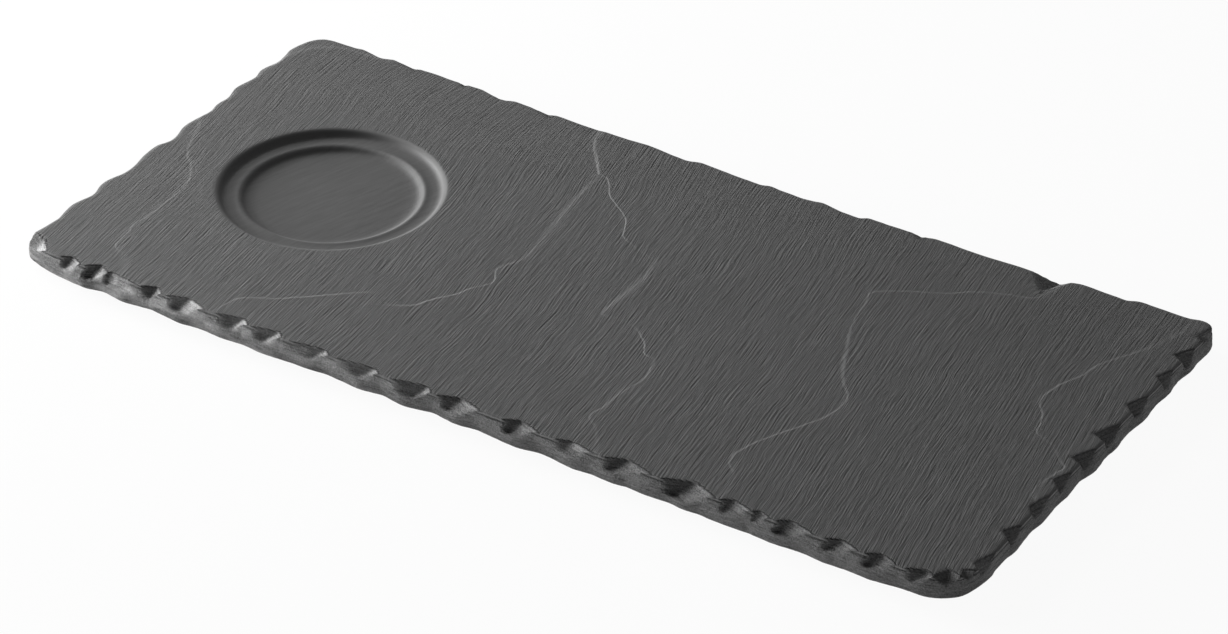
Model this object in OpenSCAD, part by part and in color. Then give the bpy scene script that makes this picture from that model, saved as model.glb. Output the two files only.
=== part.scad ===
// Serving plate cast to look like split slate: chipped edges, low terraces across the top
// and one stepped round recess that holds a small cup.
// Millimetres, +Z up. The origin is on the table, under the middle of the plate.

/* [Plate] */
// Length of the plate over its widest lips
plate_l = 250; // [220:1:300]
// Width of the plate over its widest lips
plate_w = 120; // [105:1:150]
// Thickness of the body, from its underside to the mean level of its top
plate_t = 6; // [5.5:0.1:9]
// Height of the upper layer, whose outline is the rim seen from above
rim_t = 2.2; // [1.8:0.1:2.6]
// Height of the underside layer, drawn in below the lip
base_t = 1.4; // [0.6:0.1:2]
// How far the underside layer is drawn in from the lip
base_inset = 1.4; // [0.6:0.1:2.5]

/* [Top surface] */
// Fall of every terrace over the length of the plate
terrace_fall = 1.5; // [0.8:0.1:2]
// Height of the step at the left-hand cleft
step_left = 0.3; // [0.2:0.05:0.5]
// Height of the step at the cleft that passes the cup
step_cup = 0.25; // [0.2:0.05:0.5]
// Height of the step at the long middle cleft
step_middle = 0.35; // [0.2:0.05:0.5]
// Height of the step at the cleft right of the middle
step_right = 0.4; // [0.2:0.05:0.5]
// Height of the step at the cleft along the right-hand edge
step_edge = 0.25; // [0.2:0.05:0.5]
// Depth of the big split flake in the back edge
flake_depth = 2.4; // [1:0.1:3]

/* [Cup recess] */
// Distance of the recess centre from the left end of the plate
cup_from_end = 47; // [40:0.5:56]
// Distance of the recess centre in front of the middle of the plate
cup_forward = 0.3; // [-8:0.1:8]
// Radius of the outer step
ledge_r = 26.9; // [24:0.1:30]
// Radius of the inner well that a cup's foot stands in
well_r = 21.6; // [16:0.1:22.5]
// Depth of the ledge below the mean top
ledge_depth = 1.55; // [1.4:0.05:2]
// Depth of the well below the ledge
well_depth = 1.2; // [1.1:0.05:1.5]
// Radius of the cove under the outer wall
ledge_cove = 0.6; // [0.4:0.1:0.9]
// Radius of the cove around the well's floor
well_cove = 0.4; // [0.3:0.1:0.6]
// Bevel on both arrises
arris = 0.3; // [0.2:0.05:0.4]

/* [Feet] */
// Diameter of a non-slip pad
pad_d = 10; // [6:0.5:14]
// How far a pad stands out below the body
pad_stand = 1; // [0.6:0.1:2]
// Edge radius of a pad
pad_edge = 0.4; // [0.2:0.1:0.5]
// Depth of the shallow socket that a pad is stuck in
socket_depth = 0.8; // [0.5:0.1:1.2]
// Radial gap between a pad and its socket
socket_gap = 0.25; // [0.1:0.05:0.5]
// Thickness of the adhesive disc between a pad and its socket
tape_t = 0.2; // [0.1:0.05:0.3]
// How much smaller the adhesive disc's radius is than the pad's
tape_inset = 0.3; // [0.1:0.1:1]
// Distance of a pad's centre from the end of the plate
pad_from_end = 22; // [15:1:40]
// Distance of a pad's centre from the long side of the plate
pad_from_side = 18; // [14:1:22]

/* [Hidden] */
$fn = 64;

body_z = pad_stand;
top_z = body_z + plate_t;
lip_z = top_z - rim_t;
under_z = body_z + base_t;
ledge_z = top_z - ledge_depth;
well_z = ledge_z - well_depth;
cup_x = cup_from_end - plate_l / 2;
cup_y = -cup_forward;
pad_x = plate_l / 2 - pad_from_end;
pad_y = plate_w / 2 - pad_from_side;
pad_h = pad_stand + socket_depth - tape_t;
tape_z = body_z + socket_depth - tape_t;
fall = terrace_fall / plate_l;
clear = 2; // how far a cutting solid runs past what it cuts
foot_out = 0.5; // how far the foot of a chip's valley stands out from the rim

// Plan points are drawn in millimetres on a plan whose lips span plan_l by plan_w around plan_mid,
// and put_on() stretches them to the plate.
plan_l = 253.65;
plan_w = 121.75;
plan_mid = [0.72, 0.3];
function put_on(p) = [(p[0] - plan_mid[0]) * plate_l / plan_l, (p[1] - plan_mid[1]) * plate_w / plan_w];
function put_all(points) = [for (p = points) put_on(p)];
function turned(points) = [for (i = [len(points) - 1 : -1 : 0]) points[i]];
function arc(c, r, from, to, n) =
    [for (i = [0 : n]) let (a = from + (to - from) * i / n) c + r * [cos(a), sin(a)]];

// The rim seen from above, each edge from its low coordinate to its high one
front_rim = [[-116, -58.3], [-104, -58.6], [-60, -58.5], [-20, -58.7], [25, -58.5], [70, -58.6],
    [116, -58.7]];
right_rim = [[126.7, -46], [126.4, -30], [126.5, -12], [126.3, -5], [126.8, 6], [126.6, 20],
    [126.8, 30], [126.8, 45], [126.9, 50]];
back_rim = [[-119, 58], [-112, 58.1], [-110, 58.6], [-104, 57.4], [-100.5, 58.6], [-94, 58.1],
    [-88, 58.4], [-82, 58.1], [-74, 58.4], [-70, 57.4], [-66.5, 56.9], [-64.3, 58.1], [-56, 57.6],
    [-50, 57.8], [-44, 57.5], [-30, 57.5], [-24.5, 58], [-18, 57.2], [-13, 57], [-10, 58.1], [0, 57.4],
    [7.5, 57.2], [9.5, 58.1], [12, 57.6], [18, 57.3], [22, 57.6], [24, 58.2], [30, 57.1], [35, 56.8],
    [36.3, 58.1], [52.5, 58.1], [54, 58.8], [66, 58.4], [78, 58.9], [88.5, 58.4], [92, 59.9],
    [104.5, 59.3], [106.5, 60.4], [108, 60.6], [118, 60.3]];
left_rim = [[-125, -50], [-124.9, -46], [-125.7, -40], [-124.6, -33], [-125.7, -28], [-125.6, -25.5],
    [-124.5, -22], [-124.3, -19], [-124.9, -14], [-125.5, -9], [-125.4, -6], [-124.1, -3], [-124.3, 0],
    [-125.3, 4], [-125.2, 8], [-124.4, 13], [-124.9, 18], [-124.6, 21], [-125.7, 25], [-125.5, 28],
    [-124.8, 32], [-125.7, 36], [-124.6, 41], [-125.4, 47]];

// The lip below the rim bulges under each chip and draws in between them
front_lip = [[-116, -59.6], [-106, -60.6], [-102, -59.4], [-95, -60.6], [-88, -59.5], [-79, -60.6],
    [-73, -59.9], [-67, -60.4], [-61, -59.9], [-54, -60.5], [-47, -59.9], [-43, -60.1], [-37.5, -59.4],
    [-28, -60.4], [-22, -59.5], [-16, -60.5], [-9, -59.1], [-2, -60.2], [3, -59.4], [14, -60.4],
    [20, -59.2], [29, -60.4], [34, -59.9], [39, -60.5], [43.5, -59.8], [47, -60.3], [53, -59.8],
    [58, -60.4], [62, -60], [68, -60.4], [74, -60.1], [81, -60.6], [88, -60.1], [94, -60.7], [99, -60.2],
    [105, -60.7], [111, -59.8], [116, -59.7]];
right_lip = [[127.1, -47], [126.8, -42], [127.1, -38], [126.7, -31], [126.8, -25], [126.7, -20],
    [126.8, -16], [126.7, -12.5], [127.1, -10], [126.5, -6], [127.3, -1], [127, 4], [127.2, 6.5],
    [126.9, 13], [127.5, 17], [127, 25.5], [127.5, 28.5], [127, 36], [127.5, 39], [127.1, 45],
    [127.4, 48], [127.1, 51]];
back_lip = [[-119, 58.5], [-110, 59.2], [-104, 58.2], [-97, 58.9], [-90, 59.2], [-83, 58.6], [-75, 59],
    [-66, 57.9], [-58, 58.7], [-50, 58.2], [-42, 58.5], [-33, 58.1], [-24, 58.6], [-16, 57.9],
    [-7, 58.8], [1, 58.2], [9, 58.9], [18, 58.1], [26, 58.8], [35, 57.9], [44, 58.9], [52, 58.7],
    [60, 59.4], [68, 59], [76, 59.5], [84, 59.2], [93, 60.4], [100, 59.9], [107, 61], [118, 60.8]];
left_lip = [[-125.5, -50], [-125.4, -45], [-126.1, -39], [-125.5, -31], [-126.1, -26], [-125.4, -19],
    [-126, -10], [-125.3, -2], [-125.9, 6], [-125.3, 13], [-126.1, 25], [-125.5, 32], [-126.1, 37],
    [-125.3, 42], [-125.9, 47]];

// The four corners at the rim and at the lip, each from left to right
front_left_rim = [[-124.9, -54], [-124.5, -56.3], [-123.2, -57.4], [-120.5, -58]];
front_left_lip = [[-125.3, -54.5], [-124.9, -56.9], [-123.3, -58.1], [-120, -58.8]];
front_right_rim = [[118.5, -58.5], [121, -57.7], [123.2, -56.4], [124.9, -54.6], [126, -52], [126.5, -49.5]];
front_right_lip = [[118, -59.6], [119.7, -59.1], [121.7, -58.1], [123.8, -56.8], [125.3, -54.8],
    [126.4, -52.3], [126.9, -50]];
back_left_rim = [[-125, 51], [-124.4, 53.6], [-123, 56.3], [-121, 57.6]];
back_left_lip = [[-125.5, 51], [-124.9, 53.9], [-123.4, 56.8], [-121.2, 58.2]];
back_right_rim = [[120.5, 60.4], [122.3, 61.1], [124.4, 60.9], [125.9, 60], [126.8, 58.5], [127.1, 56.5],
    [127, 54]];
back_right_lip = [[120.3, 60.8], [122.3, 61.3], [124.5, 61.2], [126.1, 60.3], [127.1, 58.7],
    [127.4, 56.6], [127.3, 54]];

// Chips around the rim, each a valley between two flat faces: where it starts, is deepest and ends
// along the edge, its bite into the top, where its valley leaves the side, and its drop there
front_chips = [[-114.5, -110.3, -105.5, 1.2, -112, 2], [-107, -105.2, -98.5, 2.2, -105.5, 2.6],
    [-99.5, -95, -86.5, 0.8, -97, 2.6], [-91, -86, -84, 1.1, -87, 2], [-81, -77, -71.5, 1.6, -79, 2.4],
    [-68.5, -62, -60, 1.3, -64, 2], [-59.5, -51.3, -49.8, 1.2, -54, 2],
    [-49, -38.5, -36.3, 1.1, -41, 2], [-35.5, -24.3, -21.8, 1.3, -28, 2.1],
    [-16.5, -10, -7.8, 1.5, -12.5, 2.3], [-7.5, -0.8, 6.5, 1.7, -4, 3.2], [11, 14.5, 21.5, 1.5, 12.5, 2.3],
    [23, 28.5, 36.5, 1, 26.5, 1.8], [36.8, 42.5, 51, 1.7, 39.5, 2.1], [51.5, 59.3, 67, 2.6, 56, 2.9],
    [67, 70.8, 76.5, 1.2, 69.5, 2], [76.3, 77.5, 80.5, 0.9, 77, 1.6], [80.8, 84, 92, 1.4, 82.5, 2.2],
    [93, 96.5, 103, 1.3, 94.5, 2], [103.3, 107.3, 111.3, 1.5, 105, 2.2],
    [112, 115.5, 119, 1.5, 114, 2.2]];
right_chips = [[-50.7, -49.5, -42.5, 1.8, -50, 0.9], [-38.2, -35.8, -32, 2.2, -36.8, 1.9],
    [-27.5, -24.6, -17.9, 1.4, -26.2, 1.3], [-15.8, -13, -8, 1.8, -14.6, 1.8],
    [-4.2, -3.6, 3.3, 2.6, -2.8, 1.7], [6.3, 7.3, 15.2, 3, 7.4, 1.7], [19.8, 21.3, 28, 1.9, 21.2, 2],
    [33.6, 35, 40, 1.4, 35.2, 2], [43.8, 45, 50, 2.3, 45.6, 2.6]];
// Chips on the corners: plan points of the start, bite, end and foot, and the drop
corner_chips = [[[-124.9, -53.2], [-121.3, -54.8], [-117.5, -58.2], [-124, -57.3], 2.1],
    [[120.3, -58.1], [121.9, -56.2], [124.3, -55.3], [122.7, -57.5], 1.5],
    [[125.3, -54], [124.7, -53], [126.7, -49.2], [126.4, -52.5], 1.9],
    [[127, 52.4], [124.7, 54.5], [126, 60], [127.4, 56], 1.6]];

// Clefts where one terrace steps up to the next, from the front of the plan to the back
margin = 8; // how far a cleft is drawn past the plan's edge
plan_front = -plan_w / 2 - margin;
plan_back = plan_w / 2 + margin;
plan_side = plan_l / 2 + margin;
cleft_left = [[-96, plan_front], [-97, -57], [-100, -50], [-104, -48.5], [-106.5, -47], [-106.7, -41],
    [-108.6, -36], [-107, -29], [-108, -20], [-109.5, -15], [-113, -10], [-116, -7], [-118.5, -3],
    [-120, 3], [-122, 6], [-124.5, 10], [-plan_side, 20]];
cleft_cup = [[-71, plan_front], [-70, -56], [-69.5, -52], [-66, -50], [-60, -45], [-51, -38.5],
    [-45, -33.4], [-40.5, -33.5], [-37.5, -34.8], [-33, -31.5], [-30, -26], [-27, -21.5], [-23, -15.3],
    [-22.6, -12.8], [-25, -8], [-24.8, -5.6], [-22.5, 0], [-23, 10], [-25.8, 20], [-27, 33]];
cleft_join = [-28, 40];
cleft_middle = [[34, plan_front], [32, -57], [28.8, -50.7], [26, -47], [26.5, -40], [28.2, -33],
    [27.3, -27], [25.5, -21.5], [20, -16], [14, -11.5], [7, -11], [5.3, -8], [5, 9.5], [3, 14.5],
    [-4, 17.5], [-8, 20], [-11, 25.5], [-16, 30], [-20.5, 33], [-24, 38.8]];
cleft_back = [[-31.5, 45], [-34.5, 48.5], [-36.5, 54], [-38, plan_back]];
cleft_right = [[66, plan_front], [68.5, -56], [67, -50.5], [64.5, -49], [60.7, -44], [61.5, -39.5],
    [65.5, -29], [69, -22], [71, -14], [69.5, -8], [64, -1], [59, 10], [55.5, 19], [54, 26],
    [53.3, 30.5], [62, 36.3], [70, 40.5], [77, 45.3], [87, 50], [89, 58], [90, plan_back]];
cleft_edge = [[plan_side, -44], [123, -36], [121, -30], [122.3, -20], [121.8, -13], [123.8, -8.3],
    [121, -5], [113, 0.3], [110.5, 8], [107, 13], [108, 20], [111, 29], [112.8, 38], [113, plan_back]];
flake = [[79, plan_back], [80.5, 57], [85.5, 51], [88.5, 57], [90, plan_back]];

// The closed outlines, from the front edge round by the right
rim_outline = put_all(concat(front_rim, front_right_rim, right_rim, turned(back_right_rim),
    turned(back_rim), turned(back_left_rim), turned(left_rim), front_left_rim));
lip_outline = put_all(concat(front_lip, front_right_lip, right_lip, turned(back_right_lip),
    turned(back_lip), turned(back_left_lip), turned(left_lip), front_left_lip));
// Each point of an outline moved inward, square to the line between its neighbours
function drawn_in(points, by) = let (n = len(points))
    [for (i = [0 : n - 1])
        let (run = points[(i + 1) % n] - points[(i + n - 1) % n])
        points[i] + by * [-run[1], run[0]] / norm(run)];

// A slab with the given outline between two heights
module slab(points, low, high) {
    translate([0, 0, low]) linear_extrude(high - low) polygon(points);
}

// What lies above one falling terrace: the region's plan, cut off below by a tilted plane
module above_terrace(region, level) {
    intersection() {
        slab(put_all(region), top_z - clear, top_z + 2 * clear);
        translate([-plate_l / 2, 0, level])
            rotate([0, atan(fall), 0])
            translate([-2 * margin, -plate_w, 0])
            cube([plate_l + 4 * margin, 2 * plate_w, 4 * clear]);
    }
}

// The six terraces, whose levels start from the mean top and rise by a step at each cleft
module terraces() {
    first = top_z;
    second = first + step_left;
    third = second + step_cup;
    fourth = third + step_middle;
    fifth = fourth + step_right;
    sixth = fifth + step_edge;
    above_terrace(concat(cleft_left, [[-plan_side, plan_front]]), first);
    above_terrace(concat(cleft_left, [[-plan_side, plan_back]], turned(cleft_back), [cleft_join],
        turned(cleft_cup)), second);
    above_terrace(concat(cleft_cup, [cleft_join], turned(cleft_middle)), third);
    above_terrace(concat(cleft_middle, [cleft_join], cleft_back, turned(cleft_right)), fourth);
    above_terrace(concat(cleft_right, turned(cleft_edge), [[plan_side, plan_front]]), fifth);
    above_terrace(concat(cleft_edge, [[plan_side, plan_back]]), sixth);
}

// What one chip takes off: all that stands above both faces of its valley. The faces pass through
// the valley's line, from the bite down to the foot, and through the chip's two ends on the rim.
module chip(start, bite, end, foot, drop) {
    down = [foot[0] - bite[0], foot[1] - bite[1], -drop] / norm([foot[0] - bite[0], foot[1] - bite[1], drop]);
    lean = acos(down[2]);
    turn = atan2(down[1], down[0]);
    across = [cos(lean) * cos(turn), cos(lean) * sin(turn)];
    beside = [-sin(turn), cos(turn)];
    arms = [for (tip = [start, end]) 2 * [(tip - bite) * across, (tip - bite) * beside]];
    open = arms[0] / norm(arms[0]) + arms[1] / norm(arms[1]);
    away = 3 * clear * open / norm(open);
    translate([bite[0], bite[1], top_z]) rotate([0, lean, turn]) translate([0, 0, -2 * clear])
        linear_extrude(6 * clear) polygon([[0, 0], arms[0], arms[0] + away, arms[1] + away, arms[1]]);
}

// The chips along an edge that runs with X, on the side that faces +Y (1) or -Y (-1)
module chips_along_x(chips, rim, side) {
    for (c = chips) {
        on_rim = [for (x = [c[0], c[1], c[2], c[4]]) put_on([x, lookup(x, rim)])];
        chip(on_rim[0], on_rim[1] - [0, side * c[3]], on_rim[2], on_rim[3] + [0, side * foot_out], c[5]);
    }
}

// The chips along an edge that runs with Y, on the side that faces +X (1) or -X (-1)
module chips_along_y(chips, rim, side) {
    table = [for (p = rim) [p[1], p[0]]];
    for (c = chips) {
        on_rim = [for (y = [c[0], c[1], c[2], c[4]]) put_on([lookup(y, table), y])];
        chip(on_rim[0], on_rim[1] - [side * c[3], 0], on_rim[2], on_rim[3] + [side * foot_out / 2, 0], c[5]);
    }
}

// Chips on the corners
module corner_chips_cut() {
    for (c = corner_chips) chip(put_on(c[0]), put_on(c[1]), put_on(c[2]), put_on(c[3]), c[4]);
}

// The big flake split off the back edge, deepest at the edge
module flake_cut() {
    tip = put_on(flake[2]);
    reach = plate_w / 2 - tip[1];
    intersection() {
        slab(put_all(flake), lip_z - rim_t, top_z + 2 * clear);
        translate([0, tip[1], top_z + terrace_fall / 4])
            rotate([-atan((flake_depth + terrace_fall / 4) / reach), 0, 0])
            translate([0, -clear, 0]) cube([plate_l, plate_w, 4 * clear]);
    }
}

// The stepped round recess, turned about its centre
module cup_cut() {
    high = top_z + 2 * clear;
    profile = concat(
        [[0, well_z]],
        arc([well_r - well_cove, well_z + well_cove], well_cove, -90, 0, 6),
        [[well_r, ledge_z - arris], [well_r + arris, ledge_z]],
        arc([ledge_r - ledge_cove, ledge_z + ledge_cove], ledge_cove, -90, 0, 6),
        [[ledge_r, top_z - arris], [ledge_r + arris + high - top_z, high], [0, high]]);
    translate([cup_x, cup_y, 0]) rotate_extrude() polygon(profile);
}

// The shallow round sockets that the pads are stuck in
module socket_cuts() {
    for (side_x = [-1, 1])
        for (side_y = [-1, 1])
            translate([side_x * pad_x, side_y * pad_y, body_z - clear])
                cylinder(r = pad_d / 2 + socket_gap, h = socket_depth + clear);
}

// The cast body, in three layers like split stone
module plate() {
    color("#4c4c4e") difference() {
        union() {
            slab(drawn_in(lip_outline, base_inset), body_z, under_z);
            slab(lip_outline, under_z, lip_z);
            slab(rim_outline, lip_z, top_z + clear);
        }
        terraces();
        chips_along_x(front_chips, front_rim, -1);
        chips_along_y(right_chips, right_rim, 1);
        corner_chips_cut();
        flake_cut();
        cup_cut();
        socket_cuts();
    }
}

// A round non-slip pad whose lower edge is rounded
module foot_pad(side_x, side_y) {
    r = pad_d / 2;
    profile = concat([[0, 0]], arc([r - pad_edge, pad_edge], pad_edge, -90, 0, 6), [[r, pad_h], [0, pad_h]]);
    color("#303032") translate([side_x * pad_x, side_y * pad_y, 0]) rotate_extrude() polygon(profile);
}

// The thin adhesive disc between a pad and the floor of its socket
module foot_tape(side_x, side_y) {
    color("#d8d8d0") translate([side_x * pad_x, side_y * pad_y, tape_z])
        cylinder(r = pad_d / 2 - tape_inset, h = tape_t);
}

plate();
foot_pad(-1, -1);  // foot_pad_front_left
foot_pad(1, -1);  // foot_pad_front_right
foot_pad(-1, 1);  // foot_pad_back_left
foot_pad(1, 1);  // foot_pad_back_right
foot_tape(-1, -1);  // foot_tape_front_left
foot_tape(1, -1);  // foot_tape_front_right
foot_tape(-1, 1);  // foot_tape_back_left
foot_tape(1, 1);  // foot_tape_back_right
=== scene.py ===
import math
import bpy
import numpy as np
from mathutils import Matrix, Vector


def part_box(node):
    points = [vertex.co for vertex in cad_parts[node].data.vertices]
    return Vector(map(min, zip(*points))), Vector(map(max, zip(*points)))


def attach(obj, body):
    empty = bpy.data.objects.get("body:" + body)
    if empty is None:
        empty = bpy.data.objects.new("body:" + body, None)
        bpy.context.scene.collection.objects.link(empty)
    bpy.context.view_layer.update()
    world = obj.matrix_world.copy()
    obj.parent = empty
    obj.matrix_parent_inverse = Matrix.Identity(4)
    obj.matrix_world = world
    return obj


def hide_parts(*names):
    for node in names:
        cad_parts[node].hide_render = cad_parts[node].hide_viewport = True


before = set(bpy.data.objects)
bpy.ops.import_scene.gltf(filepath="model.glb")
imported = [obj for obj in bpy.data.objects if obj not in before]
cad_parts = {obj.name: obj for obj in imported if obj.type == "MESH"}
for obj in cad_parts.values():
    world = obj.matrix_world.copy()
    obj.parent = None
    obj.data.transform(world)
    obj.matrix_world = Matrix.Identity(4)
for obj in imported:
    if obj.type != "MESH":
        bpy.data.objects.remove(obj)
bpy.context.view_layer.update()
mm = 0.001

# the plate's own levels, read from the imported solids, in millimetres
plateLow, plateHigh = (np.array(corner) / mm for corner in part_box("plate"))
padLow, padHigh = (np.array(corner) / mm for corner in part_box("foot_pad_front_left"))
body = {"under": plateLow[2], "thickness": 6.0, "length": 250.0, "width": 120.0}
topLevel = body["under"] + body["thickness"]

# plan points are drawn in millimetres, on a tracing whose lips span length by width round mid
plan = {"length": 253.65, "width": 121.75, "mid": (0.72, 0.3)}

# unevenness of the mesh: height, the length of its waves both ways, seed and number of layers
reliefs = {
    "swell": (0.08, 38.0, 30.0, 3, 1),
    "wobble": (0.0625, 3.3, 1.0, 61, 2),
    "wave": (0.6, 13.0, 1.0, 71, 1),
    "layers": (0.1, 9.0, 0.62, 83, 2),
    "pits": (0.04375, 1.3, 1.1, 91, 2),
    "chipped": (0.04375, 1.7, 0.9, 101, 2),
}


def putOn(points):
    # a point on the tracing, moved to the middle and stretched to the plate
    points = np.array(points, float)
    stretch = np.array([body["length"] / plan["length"], body["width"] / plan["width"]])
    return (points - np.array(plan["mid"])) * stretch


def ease(value, zero=0.0, one=1.0):
    # 0 before zero, 1 beyond one, and a smooth S between
    t = np.clip((value - zero) / (one - zero), 0, 1)
    return t * t * (3 - 2 * t)


def unit(vectors):
    # vectors of length 1 that point the same way
    return vectors / np.linalg.norm(vectors, axis=-1, keepdims=True)


def scatter(i, j, seed):
    # a repeatable random number from 0 to 1 for each pair of whole numbers
    n = (i * 374761393 + j * 668265263 + seed * 974634777) & 0xFFFFFFFF
    n = ((n ^ (n >> 13)) * 1274126177) & 0xFFFFFFFF
    return ((n ^ (n >> 16)) & 0xFFFFFF) / float(0xFFFFFF)


def softNoise(u, v, seed):
    # random heights on a unit lattice, joined by smooth S curves both ways; from -1 to 1
    u, v = np.broadcast_arrays(np.asarray(u, float), np.asarray(v, float))
    i, j = np.floor(u).astype(np.int64), np.floor(v).astype(np.int64)
    a, b = ease(u - i), ease(v - j)
    low = scatter(i, j, seed) * (1 - a) + scatter(i + 1, j, seed) * a
    high = scatter(i, j + 1, seed) * (1 - a) + scatter(i + 1, j + 1, seed) * a
    return 2 * (low * (1 - b) + high * b) - 1


def relief(name, u, v=0.0):
    # layers of soft noise over two lengths, each twice as fine and half as high as the one before
    height, longU, longV, seed, layers = reliefs[name]
    return height * sum(softNoise(u / longU * 2 ** k, v / longV * 2 ** k, seed + 11 * k) / 2 ** k
                        for k in range(layers))


# azimuths are counted from +X towards +Y; the distance and the aim are in millimetres
camera = {"azimuth": -57.3, "elevation": 33.25, "distance": 1041.5, "aim": (8.24, -10.73, 7.0),
          "lens": 135.37}


def direction(azimuth, elevation):
    # the way out from the middle, as cosines and sines of the two angles
    a, e = math.radians(azimuth), math.radians(elevation)
    return Vector((math.cos(a) * math.cos(e), math.sin(a) * math.cos(e), math.sin(e)))


def put(name, data):
    # a new object in the scene
    made = bpy.data.objects.new(name, data)
    bpy.context.scene.collection.objects.link(made)
    return made


def makeCamera():
    back = direction(camera["azimuth"], camera["elevation"])
    data = bpy.data.cameras.new("photoCamera")
    data.lens = camera["lens"]
    eye = put("photoCamera", data)
    eye.location = (Vector(camera["aim"]) + back * camera["distance"]) * mm
    eye.rotation_euler = back.to_track_quat("Z", "Y").to_euler()
    bpy.context.scene.camera = eye


makeCamera()
print("camera ready")


def operator(operation, swapped=False):
    # what a sign does between a wire and another wire or a number
    return lambda a, b: a.sheet.maths(operation, *((b, a) if swapped else (a, b)))


# Shader maths: a wire wraps a socket, so that sums and products read as they are written
class Wire:
    def __init__(self, sheet, socket):
        self.sheet, self.socket = sheet, socket

    __add__ = __radd__ = operator("ADD")
    __mul__ = __rmul__ = operator("MULTIPLY")
    __sub__, __rsub__ = operator("SUBTRACT"), operator("SUBTRACT", swapped=True)
    __truediv__ = operator("DIVIDE")


# The nodes of a material or of the world
class Sheet:
    def __init__(self, owner):
        self.owner = owner
        owner.use_nodes = True
        self.tree = owner.node_tree
        self.tree.nodes.clear()

    def node(self, kind, settings=None, sockets=None):
        made = self.tree.nodes.new(kind)
        for key, value in (settings or {}).items():
            setattr(made, key, value)
        for key, value in (sockets or {}).items():
            if isinstance(value, Wire):
                self.tree.links.new(value.socket, made.inputs[key])
            else:
                made.inputs[key].default_value = value
        return made

    def wire(self, kind, settings=None, sockets=None, output=0):
        return Wire(self, self.node(kind, settings, sockets).outputs[output])

    def maths(self, operation, *values, clamp=False):
        settings = {"operation": operation, "use_clamp": clamp}
        return self.wire("ShaderNodeMath", settings, dict(enumerate(values)))

    def ramp(self, value, ends):
        # 0 before the first end, 1 beyond the second, and straight between
        zero, one = ends
        return self.maths("MULTIPLY", value - zero, 1 / (one - zero), clamp=True)

    def peak(self, value, sharpness):
        # 1 where the value is 0, and a straight fall to 0 on both sides of it
        return self.maths("SUBTRACT", 1.0, sharpness * self.maths("ABSOLUTE", value), clamp=True)

    def step(self, value, reach):
        # a smooth S from 0 at -reach to 1 at reach
        return self.wire("ShaderNodeMapRange", {"interpolation_type": "SMOOTHSTEP"},
                         {"Value": value, "From Min": -reach, "From Max": reach})

    def sloped(self, value, slope):
        # the slope's start, plus so much for each millimetre, kept between its low and high end
        start, each, low, high = slope
        return self.wire("ShaderNodeClamp", {}, {0: start + each * value, 1: low, 2: high})

    def hypotenuse(self, x, y):
        return self.maths("SQRT", x * x + y * y)

    def place(self):
        # object coordinates in millimetres, as three wires
        split = self.node("ShaderNodeSeparateXYZ", {}, {0: self.wire("ShaderNodeTexCoord", output=3)})
        return [Wire(self, split.outputs[k]) * (1 / mm) for k in range(3)]

    def noise(self, row, x, y, z=0.0):
        # a noise from 0 to 1, by its row: waves a millimetre along x, y and z, where along the third
        # axis of the noise it starts, detail and roughness
        wavesX, wavesY, wavesZ, start, detail, roughness = row
        vector = self.wire("ShaderNodeCombineXYZ", {}, {0: wavesX * x, 1: wavesY * y, 2: wavesZ * z + start})
        return self.wire("ShaderNodeTexNoise", {}, {"Vector": vector, "Scale": 1.0, "Detail": detail,
                                                   "Roughness": roughness})

    def attribute(self, name):
        return self.wire("ShaderNodeAttribute", {"attribute_name": name}, output=2)

    def seen(self):
        # 1 for a ray from the camera, off a gloss or through something clear, and 0 for every other ray
        path = self.node("ShaderNodeLightPath")
        straight, glossy, through = (Wire(self, path.outputs["Is " + kind + " Ray"])
                                     for kind in ("Camera", "Glossy", "Transmission"))
        return self.maths("ADD", straight + glossy, through, clamp=True)

    def coated(self, colour, tone, roughness, lift, settings=None):
        # a surface of a colour times its tone, with a bump of lift millimetres
        shade = self.wire("ShaderNodeVectorMath", {"operation": "SCALE"}, {0: colour, "Scale": tone})
        bump = self.wire("ShaderNodeBump", {}, {"Strength": 1.0, "Distance": mm, "Height": lift})
        sockets = {"Base Color": shade, "Roughness": roughness, "Normal": bump, **(settings or {})}
        return self.finish(self.wire("ShaderNodeBsdfPrincipled", {}, sockets))

    def finish(self, surface, kind="ShaderNodeOutputMaterial"):
        self.node(kind, {}, {0: surface})
        return self.owner


# The closed outline, anticlockwise: how long each of its stretches is, and how it is sampled and rounded
outline = {
    "stretches": {"front": 232, "frontRight": 13, "right": 98, "backRight": 12, "back": 238,
                  "backLeft": 9, "left": 98, "frontLeft": 9},
    "sample": 0.3, "rimRounding": 2, "lipRounding": 3, "outRounding": 6, "leastFlare": 0.15,
}
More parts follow.
